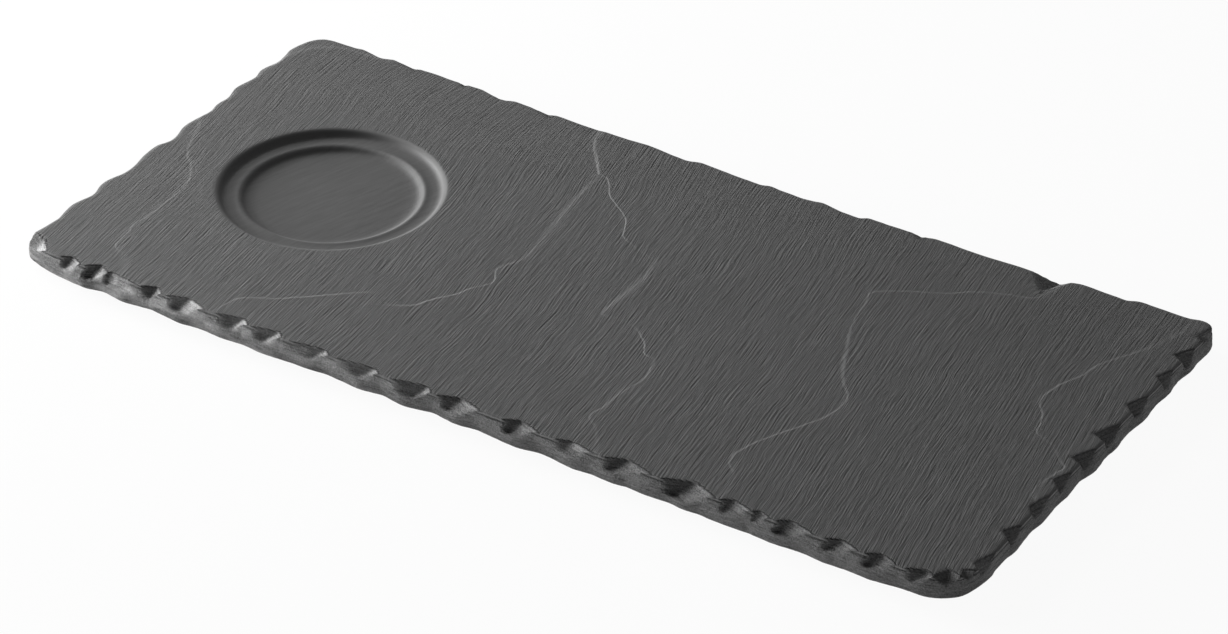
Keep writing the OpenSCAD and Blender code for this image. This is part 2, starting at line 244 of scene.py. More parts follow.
# The rim seen from above, each edge from its low coordinate to its high one, with the corners between
rim = {
    "front": [[-116, -58.3], [-104, -58.6], [-60, -58.5], [-20, -58.7], [25, -58.5], [70, -58.6],
        [116, -58.7]],
    "frontRight": [[118.5, -58.5], [121, -57.7], [123.2, -56.4], [124.9, -54.6], [126, -52], [126.5, -49.5]],
    "right": [[126.7, -46], [126.4, -30], [126.5, -12], [126.3, -5], [126.8, 6], [126.6, 20], [126.8, 30],
        [126.8, 45], [126.9, 50]],
    "backRight": [[127, 54], [127.1, 56.5], [126.8, 58.5], [125.9, 60], [124.4, 60.9], [122.3, 61.1],
        [120.5, 60.4]],
    "back": [[-119, 58], [-112, 58.1], [-110, 58.6], [-104, 57.4], [-100.5, 58.6], [-94, 58.1], [-88, 58.4],
        [-82, 58.1], [-74, 58.4], [-70, 57.4], [-66.5, 56.9], [-64.3, 58.1], [-56, 57.6], [-50, 57.8],
        [-44, 57.5], [-30, 57.5], [-24.5, 58], [-18, 57.2], [-13, 57], [-10, 58.1], [0, 57.4], [7.5, 57.2],
        [9.5, 58.1], [12, 57.6], [18, 57.3], [22, 57.6], [24, 58.2], [30, 57.1], [35, 56.8], [36.3, 58.1],
        [52.5, 58.1], [54, 58.8], [66, 58.4], [78, 58.9], [88.5, 58.4], [92, 59.9], [104.5, 59.3],
        [106.5, 60.4], [108, 60.6], [118, 60.3]],
    "backLeft": [[-121, 57.6], [-123, 56.3], [-124.4, 53.6], [-125, 51]],
    "left": [[-125, -50], [-124.9, -48.5], [-124.6, -45.5], [-125, -43.5], [-125.7, -40], [-125.6, -38],
        [-124.8, -35], [-124.3, -33], [-124.5, -31.5], [-125.5, -28.5], [-125.6, -26], [-124.9, -23.5],
        [-124.2, -21.5], [-124, -18.5], [-124.3, -16], [-125.2, -12], [-125.5, -9], [-125.4, -6],
        [-124.4, -4.3], [-123.8, -2.7], [-124.1, -0.2], [-125.2, 3.5], [-125.4, 6], [-124.9, 9],
        [-124.2, 12.2], [-124.1, 14], [-124.7, 16.5], [-124.7, 18.5], [-124.3, 21], [-124.7, 22.5],
        [-125.7, 25.5], [-125.5, 28], [-124.8, 31.3], [-124.6, 33], [-125.6, 36], [-125.4, 38],
        [-124.6, 40.5], [-124.3, 42.5], [-124.6, 44.5], [-125.4, 48]],
    "frontLeft": [[-125.5, -53.5], [-125.5, -55.8], [-124.1, -57.4], [-121, -58.2]],
}
# The lip below the rim bulges under each chip and draws in between them
lip = {
    "front": [[-116, -59.6], [-106, -60.6], [-102, -59.4], [-95, -60.6], [-88, -59.5], [-79, -60.6],
        [-73, -59.9], [-67, -60.4], [-61, -59.9], [-54, -60.5], [-47, -59.9], [-43, -60.1], [-37.5, -59.4],
        [-28, -60.4], [-22, -59.5], [-16, -60.5], [-9, -59.1], [-2, -60.2], [3, -59.4], [14, -60.4],
        [20, -59.2], [29, -60.4], [34, -59.9], [39, -60.5], [43.5, -59.8], [47, -60.3], [53, -59.8],
        [58, -60.4], [62, -60], [68, -60.4], [74, -60.1], [81, -60.6], [88, -60.1], [94, -60.7], [99, -60.2],
        [105, -60.7], [111, -59.8], [116, -59.7]],
    "frontRight": [[118, -59.6], [119.7, -59.1], [121.7, -58.1], [123.8, -56.8], [125.3, -54.8],
        [126.4, -52.3], [126.9, -50]],
    "right": [[127.1, -49], [126.7, -44.5], [126.5, -42], [127.2, -37.5], [126.7, -32], [126.5, -29],
        [127.1, -25.5], [126.8, -20], [126.4, -17], [127.1, -13.5], [126.7, -9], [126.4, -6], [127.5, -1.5],
        [127.1, 3], [126.7, 5], [127.5, 9], [127, 14], [126.8, 17.5], [127.6, 23], [127.1, 27.5],
        [126.9, 30.5], [127.6, 36], [127.1, 40], [126.9, 42.5], [127.6, 47.5], [127.1, 51]],
    "backRight": [[127.3, 54], [127.4, 56.6], [127.1, 58.7], [126.1, 60.3], [124.5, 61.2], [122.3, 61.3],
        [120.3, 60.8]],
    "back": [[-119, 58.5], [-110, 59.2], [-104, 58.2], [-97, 58.9], [-90, 59.2], [-83, 58.6], [-75, 59],
        [-66, 57.9], [-58, 58.7], [-50, 58.2], [-42, 58.5], [-33, 58.1], [-24, 58.6], [-16, 57.9],
        [-7, 58.8], [1, 58.2], [9, 58.9], [18, 58.1], [26, 58.8], [35, 57.9], [44, 58.9], [52, 58.7],
        [60, 59.4], [68, 59], [76, 59.5], [84, 59.2], [93, 60.4], [100, 59.9], [107, 61], [118, 60.8]],
    "backLeft": [[-121.2, 58.2], [-123.4, 56.8], [-124.9, 53.9], [-125.5, 51]],
    "left": [[-125.5, -50], [-125.4, -45], [-126.1, -39], [-125.5, -31], [-126.1, -26], [-125.4, -19],
        [-126, -10], [-125.3, -2], [-125.9, 6], [-125.3, 13], [-126.1, 25], [-125.5, 32], [-126.1, 37],
        [-125.3, 42], [-125.9, 47]],
    "frontLeft": [[-125.7, -54], [-125.5, -56.2], [-123.8, -57.8], [-120.4, -58.7]],
}


def between(place, along, table):
    # a table's rows at any places along it
    return np.column_stack([np.interp(place, along, column) for column in table.T])


def lengthsAlong(line):
    # the length of a line up to each of its points
    return np.concatenate([[0], np.cumsum(np.linalg.norm(np.diff(line, axis=0), axis=1))])


def traced(edge):
    # the closed outline, anticlockwise, with each stretch sampled evenly along itself
    runs = []
    for name in outline["stretches"]:
        points = np.array(edge[name], float)
        runs.append(points[::-1] if name in ("back", "left") else points)
    samples = []
    for k, length in enumerate(outline["stretches"].values()):
        line = np.vstack([runs[k], runs[(k + 1) % len(runs)][:1]])
        along = lengthsAlong(line)
        t = np.linspace(0, along[-1], int(round(length / outline["sample"])), endpoint=False)
        samples.append(between(t, along, line))
    return samples


def rounded(points, reach):
    # a closed line averaged with its neighbours under a bell curve of the given reach in samples
    k = np.arange(-3 * reach, 3 * reach + 1)
    bell = np.exp(-0.5 * (k / reach) ** 2)
    bell /= bell.sum()
    return sum(share * np.roll(points, offset, axis=0) for offset, share in zip(k, bell))


def makeOutlines():
    rimRuns, lipRuns = traced(rim), traced(lip)
    starts = np.cumsum([0] + [len(run) for run in rimRuns])
    rimLine = rounded(putOn(np.vstack(rimRuns)), outline["rimRounding"])
    lipLine = rounded(putOn(np.vstack(lipRuns)), outline["lipRounding"])
    run = np.roll(rimLine, -2, axis=0) - np.roll(rimLine, 2, axis=0)
    out = unit(rounded(unit(np.column_stack([run[:, 1], -run[:, 0]])), outline["outRounding"]))
    flare = np.maximum(outline["leastFlare"], ((lipLine - rimLine) * out).sum(axis=1))
    # corner places, as sample numbers: front-left, front-right, back-right, back-left
    corners = [(starts[k] + starts[k + 1]) // 2 for k in (7, 1, 3, 5)]
    table = np.column_stack([rimLine, out, flare])
    return np.vstack([table, table[:1]]), corners


# the rim's x and y, the way out from it and the lip's reach beyond it, and the length up to each sample
rimTable, cornerSamples = makeOutlines()
rimLength = lengthsAlong(rimTable[:, :2])
print("outlines traced")


# The top's fall from left to right, its rise at each cleft and how far that spreads, and the cleft's
# crisp step and the painted highlight along its edge
clefts = {
    "fall": 0.5, "rise": 0.1, "spread": 3.0, "far": 400.0, "noticed": 9.0, "reach": 5.0,
    "crispRise": 0.14, "crispWidth": 0.75, "gentle": 2.4, "glintSharpness": 1.7, "glintTone": 0.26,
    "raggedBy": 0.9, "ragged": (0.45, 0.45, 0, 23, 3, 0.6),
}
# Where one terrace steps up to the next, from the front to the back: x, y, width of the slope and how
# strongly it shows
cleftLines = {
    "left": [[-96, -69, 5, 0.1], [-97, -57, 4, 0.1], [-101, -50.5, 2, 0.1], [-104.5, -49, 0.8, 0.4],
        [-106.2, -47.4, 0.7, 0.6], [-106.7, -42, 0.8, 0.4], [-107.8, -38.5, 0.8, 0.7],
        [-107.3, -32, 0.8, 0.5], [-107.5, -25.8, 0.7, 0.7], [-108.1, -17.6, 0.7, 0.7],
        [-110, -13.5, 0.9, 0.6], [-113.7, -8.6, 1.1, 0.6], [-117.4, -4.9, 1.1, 0.6], [-120.5, 2, 1.2, 0.6],
        [-123.9, 8.9, 1.4, 0.5], [-134, 20, 2, 0.4]],
    "cup": [[-71, -69, 3, 0.2], [-70, -60, 2, 0.3], [-69.1, -55.5, 1, 0.6], [-68, -50.8, 0.8, 1.3],
        [-64, -48, 0.7, 1.7], [-59.3, -45.2, 0.7, 1.8], [-50, -37.2, 0.7, 1.7], [-44.5, -32.7, 0.9, 1.4],
        [-41, -32.8, 1.5, 0.4], [-37.9, -34.5, 1, 1.2], [-34.5, -32.8, 0.7, 1.8], [-32.2, -31.2, 0.7, 1.8],
        [-30.1, -26.9, 0.7, 1.8], [-26.7, -22.1, 0.7, 1.7], [-25.2, -17.8, 0.7, 1.6],
        [-22.5, -14.3, 0.6, 1.2], [-22.9, -11.7, 0.6, 1.2], [-24.7, -8.8, 0.9, 1], [-24.1, -5.4, 1, 1],
        [-22.1, -1.7, 1.2, 0.9], [-22.6, 4, 2.2, 0.9], [-23.2, 8.7, 2.8, 0.9], [-25.3, 21, 2.8, 1],
        [-26.6, 30, 2.5, 1.1], [-27.2, 36, 2, 0.8], [-27.8, 40, 1.5, 0], [-38, 54, 1.5, 0],
        [-38, 69, 1.5, 0]],
    "middle": [[36, -69, 3, 0.2], [34, -57, 2, 0.4], [31.9, -53.2, 1.6, 0.5], [29.1, -49.6, 1.2, 0.5],
        [26.2, -47.6, 1, 0.7], [26, -45.5, 0.8, 1.1], [26.8, -42.6, 0.9, 0.9], [26.7, -39, 0.9, 0.9],
        [27.3, -33.5, 0.8, 0.8], [28.4, -28.5, 0.8, 1], [27.3, -23.5, 0.9, 0.9], [26.1, -20.2, 1.2, 0.3],
        [22.9, -19.6, 0.7, 1.3], [21, -16.2, 0.7, 1.2], [18.2, -13.6, 0.9, 0.9], [14.5, -11.2, 1.5, 0.3],
        [10, -10.9, 2, 0.2], [6.1, -11, 1.2, 0.8], [5.6, -7.3, 2.2, 1.2], [5.9, -1, 2.8, 1.3],
        [5.9, 6.8, 2.8, 1.3], [4.8, 14.2, 1.8, 0.6], [2.9, 15.1, 1.2, 0.3], [-3.8, 17.5, 0.9, 0.3],
        [-8.1, 20, 0.7, 1.2], [-9.9, 24.1, 0.6, 1.4], [-12, 27, 0.6, 1.2], [-15.8, 30, 0.6, 1.2],
        [-20.5, 33.3, 0.6, 1.2], [-22.6, 36.9, 0.7, 1.1], [-25.7, 39.9, 0.8, 1], [-27.6, 40.1, 1, 0.9],
        [-32.4, 46.5, 0.8, 1], [-36.3, 51.3, 1.2, 0.7], [-38, 58, 2, 0.6], [-38, 69, 2, 0.6]],
    "right": [[67, -69, 4, 0.1], [66, -56, 3, 0.2], [64.7, -49, 1.2, 0.5], [62.4, -46.9, 1, 0.8],
        [60.9, -43.7, 0.8, 1], [61.2, -39.9, 0.7, 1.1], [62.6, -35.4, 0.7, 1.1], [65, -30.3, 0.7, 1.1],
        [68, -24.1, 0.7, 1.1], [70.3, -19, 0.7, 1.1], [71.1, -13.4, 0.7, 1.1], [70.2, -9.1, 0.8, 1],
        [66.7, -5.2, 1.4, 1], [62.4, 2.2, 1.9, 1.2], [60.3, 7.4, 1.6, 1.1], [57.9, 12.2, 1, 0.9],
        [55.6, 19.7, 0.8, 0.8], [54.3, 26.2, 0.8, 0.9], [53.4, 30.2, 0.8, 1.1], [55.7, 32.2, 0.6, 1.6],
        [60.8, 35.5, 0.6, 1.7], [65.1, 37.7, 0.6, 1.7], [69.3, 40.1, 0.6, 1.7], [72.6, 43, 0.6, 1.7],
        [76.3, 45, 0.6, 1.7], [80.9, 46.8, 0.6, 1.7], [84.4, 47.7, 0.7, 1.5], [87, 50, 1, 0.5],
        [89, 58, 2, 0.2], [90, 69, 2, 0.1]],
    "edge": [[134, -30, 3, 0.3], [127, -24, 3, 0.4], [123.2, -20.8, 1.8, 0.6], [122.5, -16.5, 1.2, 0.8],
        [123.3, -12, 1, 0.9], [124, -7.9, 0.8, 1], [122.1, -6.2, 0.9, 0.7], [117.8, -1.7, 1.2, 0.3],
        [113.2, 0.2, 1, 0.6], [112, 1.7, 0.7, 1.3], [111.4, 5.1, 0.7, 1.2], [109.6, 8.7, 0.8, 1.1],
        [107.6, 11.2, 1, 0.8], [107.1, 14.6, 0.8, 1], [108, 20.2, 0.8, 1.2], [110.3, 26, 0.8, 1.2],
        [111.6, 32.5, 0.9, 1.1], [116.1, 40.8, 1.2, 0.8], [119, 47, 2, 0.5], [122, 58, 3, 0.3],
        [124, 69, 3, 0.2]],
}


def inside(x, y, loop):
    # even-odd rule: a point is inside if a ray from it crosses the loop an odd number of times
    hit = np.zeros(x.shape, bool)
    for (ax, ay), (bx, by) in zip(loop, np.roll(loop, -1, axis=0)):
        if ay != by:
            hit ^= ((ay > y) != (by > y)) & (x < (bx - ax) * (y - ay) / (by - ay) + ax)
    return hit


def curved(points, times=3):
    # a smooth curve through the points, by the cubic that keeps each point's neighbours' direction
    p = np.vstack([points[:1], points, points[-1:]])
    t = np.arange(times)[:, None, None] / times
    a, b, c, d = p[:-3], p[1:-2], p[2:-1], p[3:]
    bend = (2 * a - 5 * b + 4 * c - d) * t ** 2 + (3 * b - a - 3 * c + d) * t ** 3
    runs = 0.5 * (2 * b + (c - a) * t + bend)
    return np.vstack([runs.transpose(1, 0, 2).reshape(-1, p.shape[1]), points[-1:]])


def fromLine(x, y, line):
    # distance to the nearest segment of a line, and the line's other values there
    best = np.full(x.shape, np.inf)
    others = np.zeros((*x.shape, line.shape[1] - 2))
    for a, b in zip(line[:-1], line[1:]):
        run = b[:2] - a[:2]
        t = np.clip(((x - a[0]) * run[0] + (y - a[1]) * run[1]) / (run @ run), 0, 1)
        away = np.hypot(x - a[0] - t * run[0], y - a[1] - t * run[1])
        closer = away < best
        best = np.where(closer, away, best)
        others[closer] = a[2:] + t[closer][..., None] * (b[2:] - a[2:])
    return best, others


def cleftCurve(name):
    # a cleft's curve, and the loop round everything to the right of it
    line = np.array(cleftLines[name], float)
    far = clefts["far"]
    beyond = putOn([[line[-1, 0], far], [far, far], [far, -far], [line[0, 0], -far]])
    line[:, :2] = putOn(line[:, :2])
    line = curved(line)
    return line, np.vstack([line[:, :2], beyond])


cleftCurves = {name: cleftCurve(name) for name in cleftLines}


def cleftDistance(name, x, y):
    # how far a point lies beyond a cleft's line, negative before it, and the slope's width and strength
    line, loop = cleftCurves[name]
    away, others = fromLine(x, y, line)
    return np.where(inside(x, y, loop), away, -away), others[..., 0], others[..., 1]


def topHeight(x, y):
    # an even fall to the right, a gentle rise at each cleft, and a low swell
    height = topLevel - clefts["fall"] * (x / body["length"] + 0.5)
    for name in cleftLines:
        height = height + clefts["rise"] * ease(cleftDistance(name, x, y)[0] / clefts["spread"] + 0.5)
    return height + relief("swell", x, y)


# The plate's mesh: a grid inside with a block for the recess, rings out to the rim and down the side,
# and an underside with a block for each pad's socket
shell = {
    "inner": (118.0, 52.3), "columns": (11, 62, 175), "rows": (21, 50, 21), "block": 30.0, "finer": 4,
    # rings out to the rim: nominal distance from it, and whether every or every second place has a point
    "bands": [[5.1, 2], [4.1, 1], [3.2, 1], [2.45, 1], [1.8, 1], [1.25, 1], [0.8, 1], [0.4, 1], [0.12, 1],
        [0, 1]],
    "reach": 6.0, "roll": 0.2, "rollFrom": 0.9, "margin": 0.01,
    "sideDepths": [0.18, 0.5, 0.9, 1.35, 1.85, 2.35, 2.9, 3.45, 4.0, 4.6, 5.15, 5.65],
    "underInset": 1.5, "underHalved": [3.0, 4.5, 6.2], "underInner": (116.0, 50.8),
    "underColumns": (5, 10, 94, 10, 5), "underRows": (3, 8, 24, 8, 3),
    "socketBlock": 7.5, "socket": 0.8, "socketGap": 0.25, "socketBevel": 0.15,
    # how deep a chip is, or how far below the top a point is, for a rough or a broken face
    "chippedCut": (0.0, 0.5), "brokenCut": (0.0, 0.25), "brokenBelow": (0.7, 1.2),
}


# Collects whole arrays of points and faces
class Mesh:
    def __init__(self):
        self.points, self.faces, self.total = [], [], 0

    def add(self, points):
        points = np.asarray(points, float).reshape(-1, 3)
        self.points.append(points)
        self.total += len(points)
        return np.arange(self.total - len(points), self.total)

    def flat(self, spots, lift=0.0):
        # points level with the underside, or lifted from it
        return self.add(np.column_stack([spots, np.full(len(spots), body["under"] + lift)]))

    def join(self, a, b):
        # faces between two closed rings, upwards where a is the inner one: quads, or five-sided faces
        # where one ring has twice as many points as the other. The second ring comes back.
        if len(a) == len(b):
            faces = np.column_stack([b, np.roll(b, -1), np.roll(a, -1), a])
        else:
            many, few = (a, b) if len(a) > len(b) else (b, a)
            even, odd = many[0::2], many[1::2]
            faces = np.column_stack([few, np.roll(few, -1), np.roll(even, -1), odd, even])
        self.faces.append(faces[:, ::-1] if len(a) < len(b) else faces)
        return b

    def fan(self, ring, tip):
        tips = np.full(len(ring), tip)
        self.faces.append(np.column_stack([tips, ring, np.roll(ring, -1)]))

    def grid(self, xs, ys, blocks, down=False):
        # a grid on the top, or down on the underside, with blocks of its cells left out
        x, y = np.meshgrid(xs, ys, indexing="ij")
        wanted = np.ones(x.shape, bool)
        keep = np.ones((len(xs) - 1, len(ys) - 1), bool)
        for i0, i1, j0, j1 in blocks:
            wanted[i0 + 1:i1, j0 + 1:j1] = False
            keep[i0:i1, j0:j1] = False
        spots = np.column_stack([x[wanted], y[wanted]])
        index = np.full(x.shape, -1)
        index[wanted] = self.flat(spots) if down else self.add(np.column_stack([spots, topHeight(*spots.T)]))
        c, keep = (index.T, keep.T) if down else (index, keep)
        self.faces.append(np.stack([c[:-1, :-1], c[1:, :-1], c[1:, 1:], c[:-1, 1:]], axis=-1)[keep])
        rings = [(0, len(xs) - 1, 0, len(ys) - 1), *blocks]
        return [ringOf(index, *ring) for ring in rings]


def ringOf(index, i0, i1, j0, j1):
    # the point numbers round a rectangle of a grid, anticlockwise from its front-left corner
    return np.concatenate([index[i0:i1, j0], index[i1, j0:j1], index[i1:i0:-1, j1], index[i0, j1:j0:-1]])


def lines(breaks, counts):
    # grid lines: each stretch between two breaks in equal cells
    parts = [np.linspace(a, b, n, endpoint=False) for a, b, n in zip(breaks[:-1], breaks[1:], counts)]
    return np.concatenate(parts + [[breaks[-1]]])


# Round recess: its middle, and radius and depth below the top round it. Its floor's rings go inwards,
# each with every point or every second point of the ring before.
cup = {
    "centre": (-77.7, 0.0), "dome": 0.08, "approach": (0.3, 0.6, 0.85),
    "profile": [[28.4, 0], [27.65, 0], [27.35, 0.03], [27.12, 0.09], [26.9, 0.18], [26.68, 0.31],
        [26.47, 0.48], [26.28, 0.69], [26.1, 0.92], [25.9, 1.14], [25.65, 1.33], [25.3, 1.47],
        [24.7, 1.53], [23.8, 1.54], [23.2, 1.52], [22.75, 1.48], [22.4, 1.44], [22.1, 1.44],
        [21.86, 1.49], [21.64, 1.58], [21.42, 1.71], [21.2, 1.87], [20.98, 2.06], [20.74, 2.26],
        [20.45, 2.43], [20.05, 2.56], [19.5, 2.64], [18.6, 2.67], [17.4, 2.67], [15.6, 2.63]],
    "floor": [[13.6, 1], [11.4, 2], [9.2, 1], [7.0, 2], [5.0, 1], [3.2, 2], [1.6, 2]],
    # radii between which the swell and the grain begin, and those inside which the finish is smooth
    "fade": (26.0, 27.8), "grained": (26.8, 28.2), "clear": 29.0, "smooth": (26.5, 25.0),
    # the two rims and their paler tone: partly thin glaze, partly a painted highlight
    "rims": (27.1, 21.6), "rimSharpness": 1.6, "rimTone": 0.3,
    "brushedLift": 0.05, "brushedTone": 0.5, "brushed": (1, 1, 0, 41, 4, 0.6),
    "brushedAlong": (0.03, 0.1), "brushedAcross": (0.86, -0.27),
}


def makeTopField(mesh):
    # the flat middle: a grid with a square left out round the recess
    (bx, by), (cx, cy), half = shell["inner"], cup["centre"], shell["block"]
    xs = lines([-bx, cx - half, cx + half, bx], shell["columns"])
    ys = lines([-by, cy - half, cy + half, by], shell["rows"])
    i, j = shell["columns"][0], shell["rows"][0]
    return mesh.grid(xs, ys, [(i, i + shell["columns"][1], j, j + shell["rows"][1])])


def makeRecess(mesh, ring):
    # rings from the square hole to the recess's edge, then down its profile, turned about the centre
    centre = np.array(cup["centre"])
    outward = np.vstack(mesh.points)[ring][:, :2] - centre
    angle = np.arctan2(outward[:, 1], outward[:, 0])
    reach = np.linalg.norm(outward, axis=1)
    profile = cup["profile"]
    plain = topLevel + clefts["rise"] - clefts["fall"] * (centre[0] / body["length"] + 0.5)

    def ringAt(r, depth, theta):
        # inside the recess the swell and the clefts fade out, and the level below the top is even
        x, y = centre[0] + r * np.cos(theta), centre[1] + r * np.sin(theta)
        height = plain + ease(r, *cup["fade"]) * (topHeight(x, y) - plain) - depth
        return mesh.add(np.column_stack([x, y, height]))

    lastRadius, floor = profile[-1]
    rings = [(reach + (profile[0][0] - reach) * share, 0, 1) for share in cup["approach"]]
    rings += [(r, depth, 1) for r, depth in profile]
    rings += [(r, floor - cup["dome"] * ease(1 - r / lastRadius), every) for r, every in cup["floor"]]
    for r, depth, every in rings:
        angle = angle[::every]
        nearer = ringAt(r, depth, angle)
        mesh.join(nearer, ring)
        ring = nearer
    mesh.fan(ring, ringAt(np.zeros(1), floor - cup["dome"], np.zeros(1))[0])


def placesOnRim():
    # for each of four times as many points as the inner rectangle has, a place along the rim: each
    # side of the rectangle shares out its own side of the rim evenly
    marks = [rimLength[sample] for sample in cornerSamples]
    sides = [shell["finer"] * sum(shell[name]) for name in ("columns", "rows")] * 2
    return lines([marks[0] - rimLength[-1], *marks[1:], marks[0]], sides)[:-1]


# The side: shares of the thickness where the lip is fullest and where the foot draws in, by how much,
# and how far below the rim its layers begin and end
side = {"lip": 0.55, "tuckFrom": 0.72, "tuck": 1.5, "tuckPower": 1.8,
        "roughBelow": (0.0, 0.5), "roughAbove": (6.2, 5.4)}


def sideShape(depth, flare, place):
    # how far the side stands out from the rim: it swells to the lip, runs down and tucks under,
    # with thin layers that run lengthways
    t = depth / body["thickness"]
    swell = flare * ease(t, 0.0, side["lip"])
    tuck = side["tuck"] * np.clip((t - side["tuckFrom"]) / (1 - side["tuckFrom"]), 0, 1) ** side["tuckPower"]
    rough = relief("layers", place, depth + relief("wave", place)) + relief("pits", place, depth)
    return swell - tuck + rough * ease(depth, *side["roughBelow"]) * ease(depth, *side["roughAbove"])


def finer(points, times):
    # a closed ring of points with others put evenly between them
    t = np.arange(len(points) * times) / times
    i = np.floor(t).astype(int)
    share = (t - i)[:, None]
    return points[i] * (1 - share) + points[(i + 1) % len(points)] * share


def makeSide(mesh, ring):
    # rings from the inner rectangle out to the rim, down the side and in under the plate
    place = placesOnRim()
    start = finer(np.vstack(mesh.points)[ring][:, :2], shell["finer"])
    table = between(np.mod(place, rimLength[-1]), rimLength, rimTable)
    out, flare = unit(table[:, 2:4]), table[:, 4]
    edge = table[:, :2] + relief("wobble", place)[:, None] * out
    for distance, every in shell["bands"]:
        spot = (start + (edge - start) * (1 - distance / shell["reach"]))[::every]
        height = topHeight(*spot.T) - shell["roll"] * ease(distance, shell["rollFrom"], 0.0) ** 2
        ring = mesh.join(ring, mesh.add(np.column_stack([spot, height])))
    stretch = (height - body["under"]) / body["thickness"]
    for depth in shell["sideDepths"]:
        spot = edge + out * sideShape(depth, flare, place)[:, None]
        ring = mesh.join(ring, mesh.add(np.column_stack([spot, height - depth * stretch])))
    return mesh.join(ring, mesh.flat(edge - out * shell["underInset"])), edge, out


def makeUnderside(mesh, ring, edge, out):
    # the ring is halved on its way in, and meets a flat grid with a round socket for each pad
    for inset in shell["underHalved"]:
        edge, out = edge[0::2], out[0::2]
        ring = mesh.join(ring, mesh.flat(edge - out * inset))
    padPlace = np.abs(padLow + padHigh)[:2] / 2
    grids, spans = [], []
    for reach, pad, counts in zip(shell["underInner"], padPlace, (shell["underColumns"], shell["underRows"])):
        near, far = pad - shell["socketBlock"], pad + shell["socketBlock"]
        grids.append(lines([-reach, -far, -near, near, far, reach], counts))
        # the pads are in the second and the fourth stretch
        spans.append([(sum(counts[:k]), sum(counts[:k + 1])) for k in (1, 3)])
    border, *squares = mesh.grid(*grids, [(*i, *j) for i in spans[0] for j in spans[1]], down=True)
    mesh.join(ring, border)
    radius = (padHigh[0] - padLow[0]) / 2 + shell["socketGap"]
    points = np.vstack(mesh.points)[:, :2]
    for ring in squares:
        centre = np.sign(points[ring].mean(axis=0)) * padPlace
        around = unit(points[ring] - centre)
        for gap, lift in ((shell["socketGap"], 0), (0, shell["socketBevel"]), (0, shell["socket"])):
            ring = mesh.join(ring, mesh.flat(centre + (radius + gap) * around, lift))
        mesh.fan(ring[::-1], mesh.flat([centre], shell["socket"])[0])


# Chips round the rim, each a valley between two flat faces: where it starts, is deepest and ends along
# the edge, its bite into the top, where its valley leaves the side, and its drop there
chips = {
    "front": [[-114.5, -111, -107, 1.4, -112, 2.2], [-107.2, -103.2, -99, 2.4, -105, 2.6],
        [-101.5, -99.5, -90, 1.2, -100, 2.6], [-91, -86.4, -83.6, 1.8, -87.5, 2.3],
        [-83.8, -77.2, -70.5, 1.9, -79, 2.4], [-70, -61.6, -58.8, 1.7, -64, 2.2],
        [-59.8, -51.6, -49.3, 1.6, -54.5, 2.2], [-49.2, -38.5, -35.8, 1.4, -41, 2.2],
        [-36.8, -24.6, -22, 1.4, -27.5, 2.1], [-20.5, -10.6, -8, 1.9, -13, 2.3],
        [-8.2, -1.4, 6.3, 2.1, -4, 2.7], [9.8, 14.6, 21.5, 1.9, 12.8, 2.3],
        [23.2, 28.4, 36.5, 1.3, 26.8, 1.9], [36.5, 43, 51.2, 2, 40, 2.2], [51.3, 59.6, 67.3, 2.8, 56, 2.9],
        [66, 70, 77, 1.6, 68.8, 2.1], [74.8, 76.8, 81, 1.2, 76, 1.7], [80.8, 84.3, 92.3, 1.8, 82.8, 2.3],
        [92.5, 97, 103, 1.7, 94.8, 2.1], [102.8, 107, 112, 1.9, 105, 2.3], [112.3, 118, 121.5, 2, 115, 2.3]],
    "right": [[-51, -49, -42.5, 2.4, -50, 2.4], [-38.2, -35.5, -31, 2.6, -36.8, 2.6],
        [-27.5, -24.3, -17.9, 2, -26.2, 2.2], [-15.8, -12.8, -7.5, 2.4, -14.6, 2.5],
        [-5, -3.4, 3.3, 3, -3.4, 2.6], [5.5, 7.4, 15.2, 3.4, 6.8, 2.6], [18.8, 21.5, 28, 2.4, 20.6, 2.7],
        [32.8, 35.2, 40.5, 2, 34.6, 2.6], [43, 45.2, 50.5, 2.7, 45, 3]],
    # on the corners and for the flake in the back: plan points of the start, bite, end and foot, and the drop
    "loose": [[[-124.9, -53.2], [-121.3, -54.8], [-117.5, -58.2], [-124, -57.3], 2.1],
        [[118.6, -58.9], [121.2, -53.7], [124.7, -54.6], [122.6, -57.8], 2.5],
        [[124.6, -55.6], [123.4, -52.4], [126.9, -50.4], [126.6, -53.6], 2.3],
        [[127, 52.4], [124.7, 54.5], [126, 60], [127.4, 56], 1.6],
        [[78.8, 58.9], [85.9, 50.3], [90.2, 58.9], [87.6, 58.6], 1.2],
        [[-101, 58], [-93.5, 56], [-91.5, 58.2], [-94.5, 59.2], 0.9],
        [[-82, 58.2], [-78.8, 56.2], [-77.4, 58.2], [-79, 59], 0.8],
        [[-74, 58.4], [-67.5, 56], [-65.5, 58], [-68, 58.6], 0.8],
        [[-62, 57.9], [-53, 55.4], [-50.8, 57.8], [-54, 58.8], 0.9],
        [[47, 58.1], [51.4, 55.8], [52.6, 58.2], [51, 59.2], 0.8]],
    "footOut": 0.2, "softness": 0.2, "margin": 4.0, "lowest": 0.8, "shelfFrom": 0.8, "shelfOver": 0.6,
    # where the painted shade and the painted highlight on a chip's walls begin and are full: by depth, and by
    # the lead over the other wall
    "shadeDepth": (0.0, 0.5), "shadeLead": (-0.12, 0.28), "highlightDepth": (0.0, 0.4), "highlightLead": (0.0, 0.5),
}


